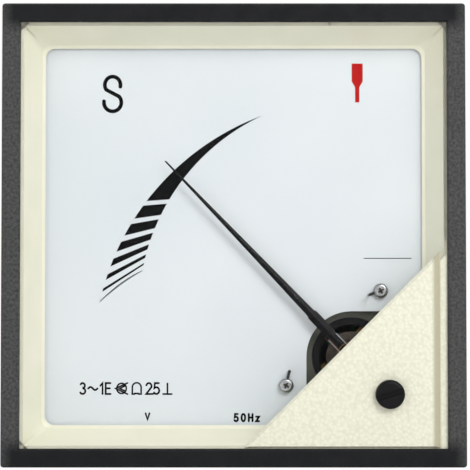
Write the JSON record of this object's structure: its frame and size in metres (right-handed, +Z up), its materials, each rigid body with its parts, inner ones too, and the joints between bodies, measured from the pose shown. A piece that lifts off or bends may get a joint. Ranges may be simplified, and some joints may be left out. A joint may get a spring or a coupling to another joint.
{
  "type": "analog panel meter",
  "caption": "Square analog panel meter with a corner-pivoted pointer, crescent scale, cream mask and cover, zero adjuster, deep black housing, corner clamps and rear terminals.",
  "frame": {"origin": "middle of the square frame, in the plane where the frame meets the panel", "axes": "+X to the right of the dial, +Z up, +Y into the panel, away from the reader"},
  "size_m": [0.12, 0.1003, 0.12],
  "materials": {
    "black_plastic": "moulded black thermoset with a fine grain",
    "window_glass": "clear flat glass",
    "cream_plastic": "cream moulded plastic, smooth on the slopes and grained on the cover",
    "zinc_steel": "zinc plated steel",
    "brass_parts": "turned and stamped brass",
    "dial_paint": "flat white paint on aluminium sheet",
    "black_print": "black printing ink",
    "red_print": "red printing ink",
    "grey_plate": "grey-green lacquered plate",
    "yoke_black": "black oxide on soft iron",
    "magnet": "sintered magnet, ground on its faces",
    "aluminium_sheet": "thin aluminium",
    "copper_wire": "enamelled copper wire",
    "spring_bronze": "rolled bronze strip",
    "pointer_black": "flat black paint",
    "board_green": "glass-epoxy board with green lacquer",
    "core_steel": "varnished transformer sheets",
    "can_blue": "printed shrink sleeve",
    "resistor_blue": "dipped lacquer",
    "diode_black": "moulded epoxy",
    "trimmer_blue": "moulded plastic",
    "wire_red": "coloured wire insulation"
  },
  "bodies": {
    "case": {"front_frame": "black_plastic", "window": "window_glass", "inner_mask": "cream_plastic", "corner_cover": "cream_plastic", "rear_housing": "black_plastic", "frame_screws": "zinc_steel", "mounting_studs": "zinc_steel", "stud_root_nuts": "zinc_steel", "panel_clamps": "zinc_steel", "clamp_washers": "zinc_steel", "clamp_nuts": "zinc_steel", "terminal_studs": "brass_parts", "terminal_spacers": "brass_parts", "terminal_lock_nuts": "brass_parts", "terminal_tags": "zinc_steel", "terminal_washers": "brass_parts", "spring_washers": "zinc_steel", "terminal_nuts": "brass_parts", "chassis_plate": "grey_plate", "chassis_screws": "zinc_steel", "dial_plate": "dial_paint", "dial_posts": "brass_parts", "dial_screws": "zinc_steel", "pointer_stops": "pointer_black", "scale_print": "black_print", "red_index": "red_print", "movement_base": "grey_plate", "base_screws": "zinc_steel", "yoke_ring": "yoke_black", "core_magnet": "magnet", "core_supports": "brass_parts", "front_bridge": "brass_parts", "rear_bridge": "brass_parts", "bridge_screws": "zinc_steel", "front_jewel_screw": "brass_parts", "rear_jewel_screw": "brass_parts", "rear_spring_tag": "brass_parts", "circuit_board": "board_green", "transformer_core": "core_steel", "transformer_coil": "copper_wire", "resistors": "resistor_blue", "capacitors": "can_blue", "diodes": "diode_black", "trimmer": "trimmer_blue", "lead_wires": "wire_red"},
    "moving_coil": {"coil_former": "aluminium_sheet", "coil_winding": "copper_wire", "front_pivot": "zinc_steel", "rear_pivot": "zinc_steel", "front_hairspring": "spring_bronze", "rear_hairspring": "spring_bronze", "pointer": "pointer_black", "balance_cross": "aluminium_sheet", "balance_weights": "brass_parts"},
    "adjuster": {"zero_adjuster": "black_plastic", "adjuster_clip": "zinc_steel"},
    "lever": {"zero_lever": "brass_parts"}
  },
  "joints": [
    {"name": "pointer_swing", "type": "hinge", "parent": "case", "child": "moving_coil", "pos_m": [0.0311, 0, -0.0317], "axis": [0, 1, 0], "range_deg": [-54, 54], "stiffness_Nm_per_rad": 0.0002, "deforming": ["front_hairspring", "rear_hairspring"]},
    {"name": "zero_adjust", "type": "hinge", "parent": "case", "child": "adjuster", "pos_m": [0.0402, 0, -0.0412], "axis": [0, -1, 0], "range_deg": [-40, 40]},
    {"name": "zero_lever_swing", "type": "hinge", "parent": "case", "child": "lever", "pos_m": [0.0311, 0, -0.0317], "axis": [0, -1, 0], "range_deg": [-4.6, 4.6]}
  ],
  "couplings": [
    {"joint": "zero_lever_swing", "follows": "zero_adjust", "ratio": -0.11}
  ]
}
